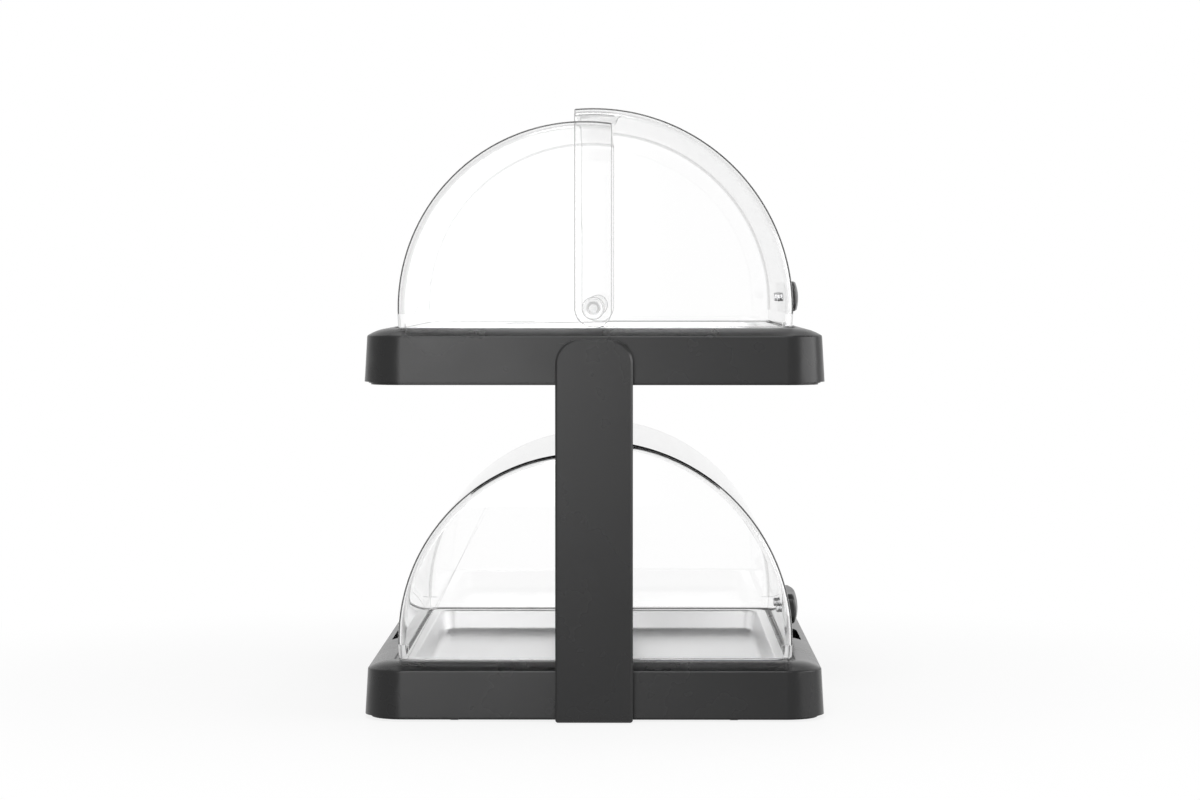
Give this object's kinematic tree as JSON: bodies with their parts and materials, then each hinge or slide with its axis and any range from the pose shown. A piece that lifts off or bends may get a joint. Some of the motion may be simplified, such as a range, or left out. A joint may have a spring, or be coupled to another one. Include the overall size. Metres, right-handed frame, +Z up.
{
  "type": "refrigerated countertop display case",
  "caption": "Two-tier chilled countertop display case: stacked shallow bases with steel trays over cool packs, clear roll-top hoods and a flat column at each end.",
  "frame": {"origin": "on the table, under the middle of the case", "axes": "+X along the case from one column to the other, -Y to the front where the handles are, +Z up"},
  "size_m": [0.4622, 0.325, 0.431],
  "materials": {
    "base_plastic": "satin charcoal moulded plastic",
    "clear_hood": "clear polycarbonate",
    "tray_steel": "fine brushed stainless steel",
    "pack_plastic": "blow-moulded plastic",
    "cap_plastic": "moulded plastic",
    "pivot_plastic": "clear moulded plastic",
    "handle_plastic": "satin black moulded plastic",
    "screw_steel": "plated steel",
    "foot_rubber": "soft rubber"
  },
  "bodies": {
    "stand": {"lower_base_housing": "base_plastic", "lower_bottom_cover": "base_plastic", "lower_tray": "tray_steel", "lower_left_cool_pack": "pack_plastic", "lower_left_pack_cap": "cap_plastic", "lower_right_cool_pack": "pack_plastic", "lower_right_pack_cap": "cap_plastic", "upper_base_housing": "base_plastic", "upper_bottom_cover": "base_plastic", "upper_tray": "tray_steel", "upper_left_cool_pack": "pack_plastic", "upper_left_pack_cap": "cap_plastic", "upper_right_cool_pack": "pack_plastic", "upper_right_pack_cap": "cap_plastic", "left_column": "base_plastic", "right_column": "base_plastic", "column_screws": "screw_steel", "rubber_feet": "foot_rubber"},
    "lower_hood": {"lower_rear_hood": "clear_hood", "lower_pivot_screws": "pivot_plastic", "lower_pivot_nuts": "pivot_plastic"},
    "lower_lid": {"lower_front_hood": "clear_hood", "lower_handle": "handle_plastic", "lower_handle_screws": "screw_steel"},
    "upper_hood": {"upper_rear_hood": "clear_hood", "upper_pivot_screws": "pivot_plastic", "upper_pivot_nuts": "pivot_plastic"},
    "upper_lid": {"upper_front_hood": "clear_hood", "upper_handle": "handle_plastic", "upper_handle_screws": "screw_steel"}
  },
  "joints": [
    {"name": "lower_hood_lift", "type": "slide", "parent": "stand", "child": "lower_hood", "axis": [0, 0, 1], "range_m": [0, 0.02]},
    {"name": "lower_lid_roll", "type": "hinge", "parent": "lower_hood", "child": "lower_lid", "pos_m": [0, 0.001, 0.0545], "axis": [-1, 0, 0], "range_deg": [0, 90]},
    {"name": "upper_hood_lift", "type": "slide", "parent": "stand", "child": "upper_hood", "axis": [0, 0, 1], "range_m": [0, 0.16]},
    {"name": "upper_lid_roll", "type": "hinge", "parent": "upper_hood", "child": "upper_lid", "pos_m": [0, 0.001, 0.2895], "axis": [-1, 0, 0], "range_deg": [0, 90]}
  ]
}
